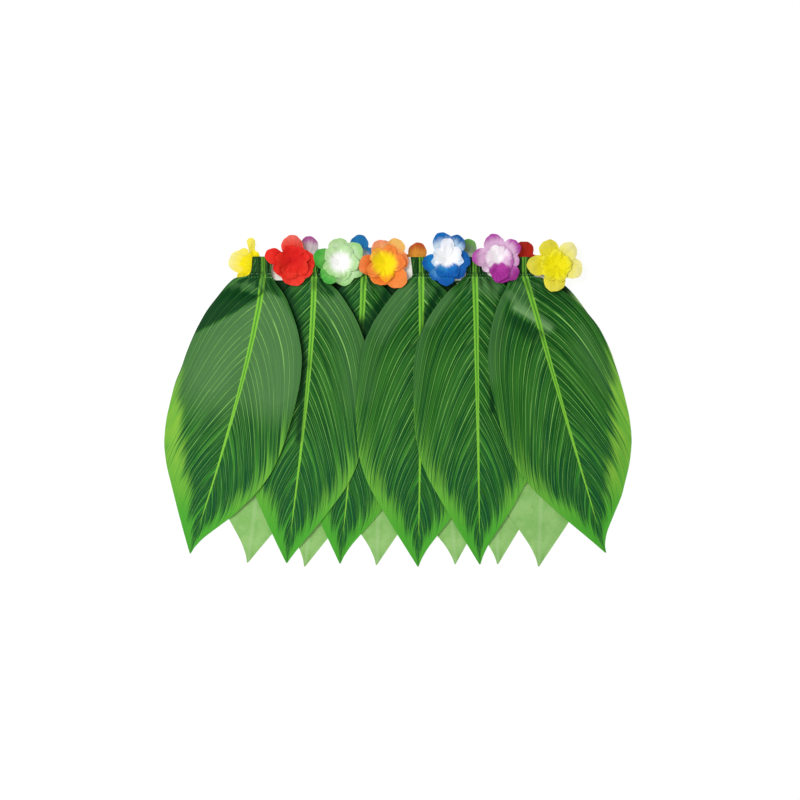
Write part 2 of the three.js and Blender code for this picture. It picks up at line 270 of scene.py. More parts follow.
# Gathers run down from the stitches. u: place across, from -1 to 1; high: in mm; wide: in u; reach: in share.
# Creases, sheen-and-shade strokes and glows run from one (u, share) to another; high and wide in mm; soft: of
# the width.
# A sheen-and-shade stroke above 0 is a painted sheen where the cloth would catch the light, and one below 0
# is painted shade. A glow widens the bright margin.
foldColumns = {
    "gathers": "u high wide reach",
    "creases": "start end high wide",
    "tones": "start end wide soft strength",
    "glows": "start end wide strength",
}

# Pairs are for the left and right margin. Left and right: of the half width; droop: how far the widest
# place slides down; lifts: in mm off what a margin lies on.
plainLeaf = {
    "left": 1,
    "right": 1,
    "droop": 0.02,
    "shoulders": (0, 0),
    "hooks": (0.005, -0.045),
    "lifts": (0.3, 0.3),
    "glows": [],
}


def planLeaf(name, rootX, leanX, tipX, tipY, **more):
    place = {"node": name, "rootX": rootX, "leanX": leanX, "tipX": tipX, "tipY": tipY}
    folds = {key: table(foldColumns[key], *more.pop(key)) for key in foldColumns if key in more}
    return {**plainLeaf, **place, **folds, **more}


backGathers = [
    (-0.82, 1.0, 0.1, 0.15), (-0.45, 1.3, 0.09, 0.22), (-0.12, 0.8, 0.08, 0.12),
    (0.2, 1.2, 0.09, 0.18), (0.52, 0.9, 0.08, 0.26), (0.85, 1.1, 0.1, 0.14),
]
backCreases = [
    ((-0.4, 0.3), (-0.15, 0.7), 0.8, 14),
    ((0.5, 0.25), (0.35, 0.6), -0.7, 16),
    ((-0.3, 0.8), (0.25, 0.86), 0.5, 10),
]


def backLeaf(name, rootX, leanX, tipX, tipY, turned=1):
    # The leaves underneath share two sets of folds, one the mirror image of the other.
    def mirrored(place):
        return (place[0] * turned, place[1])

    return planLeaf(
        name, rootX, leanX, tipX, tipY,
        hooks=(-0.055, 0.005),
        gathers=[(u * turned, *rest) for u, *rest in backGathers],
        creases=[(mirrored(start), mirrored(end), *rest) for start, end, *rest in backCreases],
        # painted shade across the top of the reverse, where the front leaves cover it
        tones=[((-0.7, 0.03), (0.7, 0.03), 26, 0.6, -1)],
    )


backLeaves = [
    backLeaf("leaf_back_2", 122, 123, 127, -212),
    backLeaf("leaf_back_4", -17, -20, -30, -213, -1),
    backLeaf("leaf_back_6", -154, -160, -197, -210),
    backLeaf("leaf_back_3", 50, 55, 72, -212, -1),
    backLeaf("leaf_back_5", -82, -90, -123, -215),
    backLeaf("leaf_back_1", 189, 190, 180, -215, -1),
]

# Each front leaf's sheen-and-shade strokes paint a sheen where its cloth would catch the light, and shade in
# its hollows, at its shoulders and beside the leaves that lie over it.
frontLeaves = [
    planLeaf(
        "leaf_front_3", -46, -49, -77, -211,
        left=0.95, lifts=(1, 1),
        gathers=[
            (-0.75, 1.1, 0.1, 0.18), (-0.4, 1.3, 0.08, 0.13), (-0.05, 0.8, 0.07, 0.22),
            (0.3, 1.2, 0.09, 0.16), (0.7, 1.0, 0.1, 0.24),
        ],
        creases=[
            ((-0.3, 0.3), (0.2, 0.55), 0.8, 14),
        ],
        tones=[
            ((-0.9, 0.05), (-0.24, 0.14), 6, 0.9, -1),
            ((-0.24, 0.14), (0.03, 0.24), 6, 0.9, -0.95),
            ((1.05, 0.048), (0.33, 0.125), 6, 0.9, -1),
            ((0.33, 0.125), (0.08, 0.23), 6, 0.9, -0.95),
            ((0.03, 0.18), (0.04, 0.3), 12, 0.7, -1),
        ],
    ),
    planLeaf(
        "leaf_front_2", -110, -110, -146, -210,
        right=0.96, droop=0.03, shoulders=(0.3, 0), hooks=(0.01, -0.01), lifts=(1, 5),
        gathers=[
            (-0.8, 1.2, 0.1, 0.2), (-0.42, 0.9, 0.08, 0.12), (-0.14, 1.2, 0.07, 0.17),
            (0.22, 1.0, 0.08, 0.26), (0.48, 1.4, 0.09, 0.15), (0.82, 1.0, 0.1, 0.22),
        ],
        creases=[
            ((0.12, 0.05), (0.62, 0.2), 1.3, 8),
            ((0.3, 0.35), (0.5, 0.62), 0.8, 14),
        ],
        tones=[
            ((0.55, 0.09), (0.82, 0.2), 20, 0.5, 0.75),
            ((0.75, 0.2), (0.8, 0.38), 22, 1, 0.5),
            ((-0.9, 0.07), (-0.33, 0.176), 9, 0.9, -0.95),
            ((-0.33, 0.176), (-0.1, 0.31), 7, 0.9, -0.95),
            ((-0.1, 0.31), (-0.06, 0.57), 4, 0.9, -0.9),
            ((0.1, 0.035), (0.6, 0.055), 7, 0.8, -0.5),
        ],
    ),
    planLeaf(
        "leaf_front_1", -175, -187, -271, -198,
        left=1.01, right=0.9, droop=0.035, shoulders=(1, 0), hooks=(0.01, -0.055), lifts=(0.5, 6),
        gathers=[
            (-0.78, 1.0, 0.1, 0.13), (-0.5, 1.3, 0.08, 0.2), (-0.22, 1.0, 0.07, 0.11),
            (0.14, 1.1, 0.07, 0.15), (0.42, 1.5, 0.09, 0.13), (0.75, 1.1, 0.1, 0.24),
        ],
        creases=[
            ((-0.02, 0.085), (-0.8, 0.235), 1.8, 9),
            ((-0.25, 0.04), (-0.12, 0.09), -1.0, 5),
            ((0.25, 0.06), (0.85, 0.15), 1.1, 8),
            ((0.35, 0.32), (0.72, 0.6), 0.9, 15),
            ((-0.6, 0.42), (-0.25, 0.72), 0.8, 14),
        ],
        tones=[
            ((-0.4, 0.17), (-0.5, 0.38), 50, 0.6, 0.95),
            ((0.45, 0.09), (0.5, 0.36), 44, 0.5, 0.95),
            ((-0.35, 0.042), (-1.16, 0.222), 16.5, 0.14, -0.85),
            ((-0.62, 0.053), (-0.2, 0.06), 5.5, 0.4, 0.35),
            ((0.1, 0.026), (0.85, 0.046), 8, 0.35, -0.45),
            ((0.95, 0.05), (0.98, 0.13), 7, 0.6, 0.2),
        ],
        glows=[
            ((-1.02, 0.4), (-1.0, 0.62), 10, 0.3),
            ((-0.95, 0.55), (-0.8, 0.8), 14, 0.22),
            ((0.25, 0.42), (0.5, 0.7), 14, -0.12),
        ],
    ),
    planLeaf(
        "leaf_front_4", 28, 29, 24, -215,
        droop=0.035, lifts=(5, 1),
        gathers=[
            (-0.7, 1.1, 0.1, 0.2), (-0.38, 1.4, 0.09, 0.14), (-0.1, 0.9, 0.07, 0.11),
            (0.2, 1.2, 0.08, 0.19), (0.55, 1.2, 0.09, 0.16), (0.85, 0.9, 0.1, 0.22),
        ],
        creases=[
            ((-0.1, 0.06), (-0.7, 0.2), 1.2, 9),
            ((0.15, 0.05), (0.6, 0.14), 1.2, 7),
            ((-0.5, 0.4), (-0.2, 0.66), 0.8, 15),
        ],
        tones=[
            ((-0.7, 0.06), (-0.85, 0.2), 17, 0.5, 0.8),
            ((0.15, 0.05), (0.42, 0.08), 7, 0.7, 0.55),
            ((-0.9, 0.22), (-0.85, 0.4), 14, 1, 0.35),
            ((0.7, 0.052), (0.13, 0.137), 5, 0.9, -1),
            ((0.13, 0.137), (0.0, 0.24), 3.5, 0.9, -0.9),
            ((0.0, 0.24), (-0.03, 0.4), 3, 0.9, -0.7),
        ],
    ),
    planLeaf(
        "leaf_front_5", 97, 100, 104, -212,
        droop=0, shoulders=(0, 0.8), lifts=(5, 2),
        gathers=[
            (-0.8, 1.0, 0.1, 0.17), (-0.5, 1.2, 0.08, 0.24), (-0.2, 0.9, 0.07, 0.12),
            (0.12, 1.0, 0.07, 0.14), (0.4, 1.4, 0.09, 0.18), (0.8, 1.0, 0.1, 0.2),
        ],
        creases=[
            ((-0.1, 0.05), (-0.85, 0.16), 1.4, 9),
            ((0.15, 0.05), (0.7, 0.1), 1.1, 8),
            ((-0.55, 0.35), (-0.3, 0.6), 0.8, 15),
        ],
        tones=[
            ((-1.0, 0.07), (-1.0, 0.15), 12, 0.5, 0.7),
            ((0.3, 0.036), (0.9, 0.075), 11, 0.5, 0.7),
            ((-0.98, 0.2), (-1, 0.42), 9, 0.9, 0.35),
            ((1.1, 0.055), (0.45, 0.157), 5, 0.9, -0.9),
            ((0.45, 0.157), (0.27, 0.26), 4, 0.9, -1),
            ((0.27, 0.26), (0.23, 0.47), 3.5, 0.9, -1),
        ],
    ),
    planLeaf(
        "leaf_front_6", 161, 192, 267, -197,
        left=1.02, right=0.98, droop=0.03, shoulders=(0.4, 0), hooks=(0, -0.08), lifts=(6, 0.5),
        gathers=[
            (-0.8, 1.1, 0.1, 0.2), (-0.45, 1.2, 0.08, 0.13), (-0.15, 1.0, 0.07, 0.11),
            (0.15, 1.1, 0.07, 0.13), (0.45, 1.2, 0.09, 0.2), (0.8, 0.9, 0.1, 0.18),
        ],
        creases=[
            ((-0.85, 0.043), (0.19, 0.215), 1.8, 6),
            ((-0.85, 0.09), (-0.08, 0.2), -1.0, 9),
            ((0.7, 0.2), (0.72, 0.3), 0.9, 7),
            ((-0.6, 0.4), (-0.3, 0.65), 0.8, 15),
        ],
        tones=[
            ((-0.75, 0.1), (-0.12, 0.2), 12, 0.7, -0.75),
            ((0.1, 0.05), (0.75, 0.12), 14, 0.6, -0.4),
            ((-0.5, 0.035), (-0.1, 0.1), 7, 0.5, 0.45),
            ((-0.8, 0.052), (0.17, 0.2), 6, 0.7, 0.95),
            ((-0.5, 0.1), (0.14, 0.196), 5.5, 0.95, 1.25),
            ((-1.05, 0.07), (-1.0, 0.3), 12, 0.8, 0.5),
            ((0.7, 0.225), (0.72, 0.285), 4, 0.7, 0.5),
            ((0.6, 0.3), (0.8, 0.42), 15, 1, 0.35),
        ],
        glows=[
            ((0.98, 0.34), (1.0, 0.6), 12, 0.32),
            ((0.9, 0.5), (0.75, 0.8), 15, 0.24),
            ((-0.4, 0.5), (-0.5, 0.75), 16, -0.15),
        ],
    ),
]


def midrib(leaf, share):
    # The midrib as a bent line from the stitches to the tip, by its own length, with its direction.
    root = np.array([leaf["rootX"], stitchY], float)
    tip = np.array([leaf["tipX"], leaf["tipY"]], float)
    lean = np.array([leaf["leanX"], stitchY + 0.3 * (leaf["tipY"] - stitchY)])
    t = np.linspace(0, 1, 400)[:, None]
    line = root * (1 - t) ** 2 + 2 * lean * t * (1 - t) + tip * t * t
    length = np.concatenate([[0], np.cumsum(np.linalg.norm(np.diff(line, axis=0), axis=1))])
    at = np.interp(np.clip(share, 0, 1), length / length[-1], t[:, 0])[:, None]
    centre = root * (1 - at) ** 2 + 2 * lean * at * (1 - at) + tip * at * at
    along = 2 * (1 - at) * (lean - root) + 2 * at * (tip - lean)
    along /= np.linalg.norm(along, axis=1, keepdims=True)
    return centre, along


def strokeDistance(flatX, flatY, stroke):
    # Distance of each place on the cut cloth from a stroke, and how far along the stroke it lies.
    ends = []
    for u, share in (stroke["start"], stroke["end"]):
        ends.append(np.array([u * leafCut["halfWidth"] * float(halfAt(share)), share * leafCut["length"]]))
    a, b = ends
    run = b - a
    t = ((flatX - a[0]) * run[0] + (flatY - a[1]) * run[1]) / (run @ run)
    held = np.clip(t, 0, 1)
    return np.hypot(flatX - a[0] - held * run[0], flatY - a[1] - held * run[1]), t


def leafGrid(leaf, isFront):
    # The cut cloth's points by place across and share of the length, and where each lies on the table.
    columns, rows = leafCut["front" if isFront else "back"]
    t = np.linspace(0, 1, rows)
    share = -leafCut["above"] / leafCut["length"] * (1 - t) + t * (0.55 + 0.45 * t)
    u = np.linspace(-1, 1, columns)[None, :]
    slid = np.where(share > 0, share - leaf["droop"] * np.sin(np.pi * np.clip(share, 0, 1)), share)[:, None]
    left, right = [
        halfAt(slid) * leaf[side] + shoulderAt(slid) * leaf["shoulders"][i] + hookAt(slid) * leaf["hooks"][i]
        for i, side in enumerate(("left", "right"))
    ]
    half = leafCut["halfWidth"] * (left + (right - left) * ease(u, -0.25, 0.25))
    centre, along = midrib(leaf, share)
    onBand = 1 - ease(share, 0, 0.03)[:, None]
    along = along * (1 - onBand) + np.array([0, -1]) * onBand
    along /= np.linalg.norm(along, axis=1, keepdims=True)
    above = np.minimum(share, 0) * leafCut["length"]
    x = centre[:, :1] - along[:, 1:] * u * half
    y = centre[:, 1:] - above[:, None] + along[:, :1] * u * half
    share = share[:, None] + 0 * u
    return u + 0 * share, share, half, x, y


def gathered(leaf, isFront, u, share):
    # How high the gathers at the stitches stand: deep ones that run out, and small tucks between them.
    high = np.zeros(u.shape)
    for g in leaf["gathers"]:
        places = [-0.07, -0.01, 0, 0.012, 0.05, g["reach"] * 0.6 + 0.03, g["reach"] + 0.03]
        spread = np.interp(share, places, [0.75, 0.6, 0.35, 0.7, 1, 0.45, 0])
        across = np.exp(-(((u - g["u"]) / g["wide"]) ** 2))
        high += g["high"] * spread * across * (1 if isFront else 0.5)
    tuck = np.sin(13 * u + leaf["rootX"]) + 0.6 * np.sin(21 * u + 2 * leaf["rootX"] + 9 * share)
    tuckPlaces = [-0.062, -0.035, -0.012, 0, 0.014, 0.035, 0.07]
    tuckHigh = np.interp(share, tuckPlaces, [0.3, 0.5, 0.45, 0.22, 0.6, 0.5, 0])
    return high + tuckHigh * tuck * (1 if isFront else 0.4)


def creased(leaf, flatX, flatY):
    # How high the creases stand, with the painted sheen and shade and the glow of the margin at each place.
    high, tone, glow = (np.zeros(flatX.shape) for _ in range(3))
    for c in leaf["creases"]:
        away, t = strokeDistance(flatX, flatY, c)
        taper = ease(t, -0.25, 0.3) * (1 - ease(t, 0.65, 1.3))
        high += c["high"] * np.exp(-((away / c["wide"]) ** 2)) * taper
    for s in leaf["tones"]:
        away = strokeDistance(flatX, flatY, s)[0]
        cover = 1 - ease(away, s["wide"] * (1 - s["soft"]), s["wide"] * (1 + s["soft"]))
        tone += (s["strength"] - tone) * cover
    for s in leaf["glows"]:
        away = strokeDistance(flatX, flatY, s)[0]
        glow += s["strength"] * (1 - ease(away, 0, s["wide"] * 2))
    return high, tone, glow


def leafSheet(leaf, isFront):
    u, share, half, x, y = leafGrid(leaf, isFront)
    z = nodeHeight(leaf["node"], x, y)

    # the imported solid's coarse gathers give way to finer ones
    fit = np.array([np.polyval(np.polyfit(u[i], z[i], 4), u[i]) for i in range(len(z))])
    z = fit + (z - fit) * ease(share, 0.1, 0.22)
    z = softened(z, 14) + gathered(leaf, isFront, u, share)
    high, tone, glow = creased(leaf, u * half, share * leafCut["length"])
    z += high

    # a slow flutter, and margins that stand a little off what they lie on
    phase = leaf["rootX"] * 0.37
    z += 0.5 * ease(share, 0.12, 0.3) * np.sin(7 * u + 11 * share + phase) * np.abs(u)
    lift = np.where(u < 0, leaf["lifts"][0], leaf["lifts"][1])
    z += lift * ease(np.abs(u), 0.45, 1) ** 1.5 * ease(share, 0.03, 0.16) * (1 - ease(share, 0.4, 0.72))

    # front leaves stay above the band and back leaves below it
    z = settle(x, y, z, leafCut["wall"])
    clear = leafCut["wall"] / 2 + layGap
    if isFront:
        z = np.where(y > bandBottom, np.maximum(z, bandFace + clear), z)
    else:
        z = np.where(y > bandBottom - 4, np.minimum(z, band["underside"] - clear), z)
    # how far each place lies below its neighbours, for painted shade in the hollows and a painted highlight
    # on the ridges of the gathers
    hollow = np.clip((softened(z, 8) - z) / 0.5, -1, 1)
    return np.stack([x, y, z], axis=-1), u, share, half, tone, hollow, glow


threadCut = {"rows": (0, 0.0115), "pitch": 2.7, "long": 1.9, "thick": 0.6, "reach": 0.88}  # rows: in share


def makeStitches(leaf, sheet, u, share, half):
    # Two rows of stitches where a leaf is gathered: short lengths of thread half sunk in the cloth.
    tree = Tree("stitchRow", {
        "Stitch Length": threadCut["long"] * mm,
        "Thread": threadCut["thick"] * mm,
        "Material": threadFinish,
    })
    grain = tree.add("GeometryNodeMeshUVSphere", {}, {"Segments": 8, "Rings": 6, "Radius": 0.5})
    size = tree.add("ShaderNodeCombineXYZ", {}, {
        0: tree.given("Stitch Length"), 1: tree.given("Thread"), 2: tree.given("Thread")})
    sewn = tree.add("GeometryNodeInstanceOnPoints", {}, {
        "Points": tree.given("Geometry"), "Instance": grain, "Scale": size})
    tree.end(sewn)
    places = []
    for line in threadCut["rows"]:
        row = int(np.argmin(np.abs(share[:, 0] - line)))
        wide = 2 * half[row].mean() * 0.9
        count = int(wide / threadCut["pitch"])
        for across in np.linspace(-threadCut["reach"], threadCut["reach"], count):
            column = int(round((across + 1) / 2 * (u.shape[1] - 1)))
            x, y, z = sheet[row, column]
            places.append((x * mm + tableShift[0], y * mm + tableShift[1], (z + leafCut["wall"] / 2) * mm))
    piece = tree.run(leaf["node"] + "_stitches", places, [])
    piece.data.polygons.foreach_set("use_smooth", [True] * len(piece.data.polygons))
    sewOn(piece)
    return piece


def makeLeaf(leaf, isFront):
    sheet, u, share, half, tone, hollow, glow = leafSheet(leaf, isFront)
    pile.add(sheet, leafCut["wall"])
    cut = np.stack([(u * half).ravel() * mm, share.ravel() * leafCut["length"] * mm], axis=1)
    # the third number is the painted sheen and shade
    place = np.stack([u.ravel(), share.ravel(), tone.ravel()], axis=1)
    name = leaf["node"] + "_cloth"
    folds = np.stack([hollow.ravel(), glow.ravel(), 0 * glow.ravel()], axis=1)
    attributes = {"leafPlace": ("FLOAT_VECTOR", place), "leafFolds": ("FLOAT_VECTOR", folds)}
    faces = gridFaces(*u.shape)
    piece = wallMesh(name, sheet.reshape(-1, 3), faces, leafCut["wall"], cut, attributes)
    for finish in (leafPrintSheenAndShade, leafReverse) if isFront else (leafReverse, leafPrintSheenAndShade):
        piece.data.materials.append(finish)
    sewOn(piece, leaf["node"])
    down = (share[1:, 0] - share[:-1, 0]) * leafCut["length"]
    wide = half[:, 0] + half[:, -1]
    area = float(np.sum((wide[1:] + wide[:-1]) / 2 * down)) * mm * mm
    sewn = [makeStitches(leaf, sheet, u, share, half)] if isFront else []


class Value:
    # One socket of a shader node, so that a pattern can be written as a sum.
    def __init__(self, finish, socket):
        self.finish, self.socket = finish, socket

    def maths(self, operation, *values):
        return self.finish.add("ShaderNodeMath", {"operation": operation}, values)

    def __add__(self, other):
        return self.maths("ADD", self, other)

    def __sub__(self, other):
        return self.maths("SUBTRACT", self, other)

    def __mul__(self, other):
        return self.maths("MULTIPLY", self, other)

    def __truediv__(self, other):
        return self.maths("DIVIDE", self, other)

    def __radd__(self, other):
        return self.maths("ADD", other, self)

    def __rsub__(self, other):
        return self.maths("SUBTRACT", other, self)

    def __rmul__(self, other):
        return self.maths("MULTIPLY", other, self)

    def size(self):
        return self.maths("ABSOLUTE", self)

    def wave(self):
        return self.maths("SINE", self)

    def logarithm(self):
        return self.maths("LOGARITHM", self, math.e)

    def toLine(self):
        # 0 on every whole number, 0.5 half way between
        return self.maths("PINGPONG", self, 0.5)

    def rise(self, low, high):
        settings = {"interpolation_type": "SMOOTHSTEP"}
        return self.finish.add("ShaderNodeMapRange", settings, {0: self, 1: low, 2: high, 3: 0.0, 4: 1.0})

    def clip(self):
        return self.finish.add("ShaderNodeClamp", {}, [self, 0.0, 1.0])


class Finish:
    # A material, with one method that adds any node to it.
    def __init__(self, name, roughness, sheen=0.0, specular=0.5):
        self.material = bpy.data.materials.new(name)
        self.material.use_nodes = True
        self.tree = self.material.node_tree
        self.tree.nodes.clear()
        self.shader = self.tree.nodes.new("ShaderNodeBsdfPrincipled")
        self.shader.inputs["Roughness"].default_value = roughness
        self.shader.inputs["Sheen Weight"].default_value = sheen
        self.shader.inputs["Specular IOR Level"].default_value = specular
        output = self.tree.nodes.new("ShaderNodeOutputMaterial")
        self.tree.links.new(self.shader.outputs[0], output.inputs[0])

    def add(self, kind, settings=None, values=(), output=0):
        node = self.tree.nodes.new(kind)
        for name, value in (settings or {}).items():
            if name == "stops":
                ramp = node.color_ramp
                while len(ramp.elements) < len(value):
                    ramp.elements.new(0.5)
                for element, (place, level) in zip(ramp.elements, value):
                    element.position = place
                    element.color = (level, level, level, 1)
            else:
                setattr(node, name, value)
        pairs = values.items() if isinstance(values, dict) else enumerate(values)
        for key, value in pairs:
            if isinstance(value, Value):
                self.tree.links.new(value.socket, node.inputs[key])
            else:
                node.inputs[key].default_value = value
        return Value(self, node.outputs[output])

    def parts(self, vector):
        split = self.add("ShaderNodeSeparateXYZ", {}, [vector])
        return [Value(self, socket) for socket in split.socket.node.outputs]

    def attribute(self, name, output=1):
        return self.add("ShaderNodeAttribute", {"attribute_name": name}, (), output)

    def cut(self):
        return self.parts(self.add("ShaderNodeUVMap", {"uv_map": "cut"}))[:2]

    def objectPlace(self):
        return self.add("ShaderNodeTexCoord", {}, (), 3)

    def noise(self, place, detail=2.0, roughness=0.5, scale=1.0):
        # place: two or three numbers or sockets
        vector = self.add("ShaderNodeCombineXYZ", {}, place)
        values = {"Vector": vector, "Scale": scale, "Detail": detail, "Roughness": roughness}
        return self.add("ShaderNodeTexNoise", {}, values)

    def steps(self, value, stops):
        return self.add("ShaderNodeValToRGB", {"stops": stops}, [value])

    def mix(self, factor, first, second, blend="MIX"):
        settings = {"data_type": "RGBA", "blend_type": blend}
        return self.add("ShaderNodeMix", settings, {0: factor, 6: first, 7: second}, 2)

    def layered(self, colour, look, covers):
        # Lays colours of a look over each other, each where its own cover is.
        for cover, name in covers:
            colour = self.mix(cover, colour, look[name])
        return colour

    def colour(self, value):
        self.tree.links.new(value.socket, self.shader.inputs["Base Color"])

    def bump(self, height, strength, distance):
        values = {"Height": height, "Strength": strength, "Distance": distance}
        relief = self.add("ShaderNodeBump", {}, values)
        self.tree.links.new(relief.socket, self.shader.inputs["Normal"])


def weave(x, y, pitch):
    # A plain weave's threads, up and down, as a height.
    turn = 2 * math.pi / (pitch * mm)
    return (x * turn).wave() * (y * turn).wave()


printSheenAndShade = {
    "core": paint("124a18"),
    "coreLight": paint("266820"),
    "coreCool": paint("14522d"),
    "coreGrown": paint("357528"),
    "coreLow": paint("0c4f2a"),
    "margin": paint("8cc440"),
    "marginCool": paint("60b03a"),
    "tip": paint("3faa2c"),
    "vein": paint("8cc862"),
    "fineVein": paint("62a846"),
    "rib": paint("84ca40"),
    "ribGroove": paint("3c8a2a"),
    # painted sheen where the cloth would catch the light, a brighter painted highlight, and painted shade
    "paintedSheen": paint("52804a"),
    "paintedSheenBright": paint("8cb97c"),
    "shade": paint("033416"),
    "tab": paint("0a260e"),
    "veinPitch": 13,
    "finePitch": 6.0,
    "sweep": (80, 200),  # how far a vein runs down, and what that gains towards the tip
    "bend": 0.53,
    "ribHalf": 4.1,  # half the midrib's width at the stitches
    "ribWaver": 1.1,
    # share, and how wide the dark core and the midrib still are there
    "coreEnds": [
        (0, 1), (0.34, 1), (0.45, 0.87), (0.57, 0.75),
        (0.68, 0.62), (0.8, 0.48), (0.9, 0.31), (0.98, 0.07),
    ],
    "ribEnds": [(0, 1), (0.3, 0.7), (0.6, 0.38), (0.8, 0.2), (0.92, 0.03)],
}


def veinRun(x, y, u, share):
    # Places with the same run lie on one vein: it leaves the midrib on a slant and turns down to the tip.
    across = 0.5 * u.size() + x.size() * (0.5 / (leafCut["halfWidth"] * mm))
    low, more = printSheenAndShade["sweep"]
    sweep = (low + more * share.rise(-0.1, 0.6)) * mm
    return y + sweep * (1 - printSheenAndShade["bend"] * across).logarithm()


def makeLeafPrintSheenAndShade():
    look = printSheenAndShade
    f = Finish("leafPrintSheenAndShade", 0.42, 0, 0.05)
    u, share, tone = f.parts(f.attribute("leafPlace"))
    hollow, glow = f.parts(f.attribute("leafFolds"))[:2]
    x, y = f.cut()
    across = u.size()
    side = u.rise(-0.001, 0.001) * 7.3  # keeps the streaks of the two halves apart
    run = veinRun(x, y, u, share)

    # veins: strong ones at uneven distances, fine ones between them, and streaks of colour along both
    uneven = f.noise((run * 48, side), 1)
    drift = f.noise((run * 120, side + 2, across * 1.5), 1)
    toVein = ((run + 0.02 * (uneven - 0.5)) / (look["veinPitch"] * mm)).toLine()
    toFine = ((run + 0.008 * (drift - 0.5)) / (look["finePitch"] * mm)).toLine()
    force = f.noise((run * 110, across * 3.5, side + 5))
    worn = f.noise((run * 150, across * 5, side + 4))
    faded = 1 - 0.45 * across.rise(0.5, 1)
    vein = (1 - toVein.rise(0.015, 0.055)) * (0.25 + 0.75 * force.rise(0.36, 0.58)) * faded
    fine = (1 - toFine.rise(0.025, 0.1)) * (0.15 + 0.85 * worn.rise(0.4, 0.6))
    streak = f.noise((run * 190, across * 2.2, side), 3, 0.6)
    broad = f.noise((run * 80, across * 1.3, side + 3))
    hue = f.noise((run * 28, across * 2, side + 9), 1)

    # where the dark core ends and the bright margin begins
    coreHalf = 1.3 * f.steps(share, look["coreEnds"])
    reach = across + 1.1 * (streak - 0.5) + 0.8 * (broad - 0.5) + glow
    margin = reach.rise(coreHalf - 0.22, coreHalf + 0.26)
    core = f.mix(streak.rise(0.4, 0.62), look["core"], look["coreLight"])
    core = f.layered(core, look, [
        (hue.rise(0.45, 0.65) * 0.4, "coreCool"),
        (share.rise(0.14, 0.36) * 0.8 * broad.rise(0.42, 0.62), "coreGrown"),
        (share.rise(0.4, 0.75) * streak.rise(0.6, 0.42), "coreLow"),
        (share.rise(0.45, 0.8) * broad.rise(0.5, 0.68) * 0.6, "tip"),
    ])
    edge = f.mix(streak.rise(0.36, 0.6) * (0.4 + 2.4 * glow).clip(), look["marginCool"], look["margin"])
    edge = f.mix(share.rise(0.7, 0.92) * 0.8, edge, look["tip"])
    colour = f.mix(margin, core, edge)

    # the midrib: two bright lines with a groove between them
    ribHalf = look["ribHalf"] * mm * f.steps(share, look["ribEnds"])
    ribHalf = ribHalf * (0.68 + 0.32 * share.rise(-0.015, 0.01))
    fromRib = x.size() + look["ribWaver"] * mm * (f.noise((y * 420, side)) - 0.5)
    rib = 1 - fromRib.rise(ribHalf * 0.8, ribHalf * 1.06 + 0.00015)
    groove = (1 - fromRib.rise(ribHalf * 0.1, ribHalf * 0.42)) * (1 - share.rise(0.35, 0.6))

    # painted sheen where the cloth would catch the light, veins and midrib over it, then the painted shade of
    # folds, gathers and tab over the tab's own dark colour, and a painted highlight on the ridges of the
    # gathers
    grain = f.noise((x * 700, y * 700), 1)
    thread = f.noise((x * 900, y * 120))
    pleat = f.noise((x * 520, y * 30))
    # where the painted sheen lies
    light = tone.clip() * (0.66 + 0.3 * thread) * (1 - 0.55 * margin)
    tab = 1 - share.rise(-0.006, 0.01)
    stitched = 1 - (share + 0.001).size().rise(0.003, 0.012)
    f.colour(f.layered(colour, look, [
        (light, "paintedSheen"),
        ((tone - 0.92).clip() * 1.6, "paintedSheenBright"),
        (fine * 0.8 * (1 - 0.55 * light), "fineVein"),
        (vein * (1 - 0.15 * light) * (1 - 0.35 * share.rise(0.5, 0.8)), "vein"),
        (rib * (1 - share.rise(0.84, 0.92)), "rib"),
        (groove * 0.85, "ribGroove"),
        ((0 - tone).clip() * 0.92, "shade"),
        # the tab's own dark colour with painted shade in its puckers, then more painted shade in the puckers
        # at the stitches
        (tab * (0.28 + 0.62 * pleat.rise(0.4, 0.56)) * (1 - 0.45 * rib), "tab"),
        (stitched * pleat.rise(0.6, 0.4) * 0.8, "tab"),
        # painted shade in the hollows of the gathers
        (hollow.rise(0.05, 0.9) * 0.7 * (1 - share.rise(0.02, 0.07)), "tab"),
        (grain.rise(0.3, 0.7) * 0.1, "core"),
        # a painted highlight on the ridges of the gathers
        ((0 - hollow).rise(0.1, 0.9) * 0.55 * (1 - share.rise(0.02, 0.1)), "paintedSheen"),
    ]))
    f.bump(weave(x, y, 0.5) + 0.8 * thread, 0.18, 0.2 * mm)
    return f.material


reverseLook = {
    "pale": paint("9aca78"),
    "green": paint("84bb62"),
    "deep": paint("74ae54"),
    "rib": paint("b9d9a0"),
    "shade": paint("123a16"),
}


def makeLeafReverse():
    look = reverseLook
    f = Finish("leafReverse", 0.6, 0, 0.12)
    u, share, tone = f.parts(f.attribute("leafPlace"))
    x, y = f.cut()
    cloud = f.noise((x, y), 3, scale=45)
    grain = f.noise((x * 700, y * 140))
    cross = f.noise((x * 140, y * 700))
    toVein = (veinRun(x, y, u, share) / (printSheenAndShade["veinPitch"] * mm)).toLine()
    colour = f.mix(cloud.rise(0.3, 0.7), look["green"], look["pale"])
    f.colour(f.layered(colour, look, [
        ((grain * cross).rise(0.18, 0.42) * 0.3, "deep"),
        ((1 - toVein.rise(0.02, 0.2)) * 0.18, "pale"),
        ((1 - x.size().rise(0.001, 0.004)) * 0.25, "rib"),
        # painted shade where the leaf's sheen-and-shade strokes fall below 0
        ((0 - tone).clip(), "shade"),
    ]))
    f.bump(weave(x, y, 0.5) + grain, 0.2, 0.2 * mm)
    return f.material


def makeThreadFinish():
    f = Finish("stitchThread", 0.5, 0, 0.2)
    worn = f.noise(f.parts(f.objectPlace()), 1, scale=260)
    f.colour(f.mix(worn.rise(0.4, 0.6), paint("55b060"), paint("98dc98")))
    return f.material


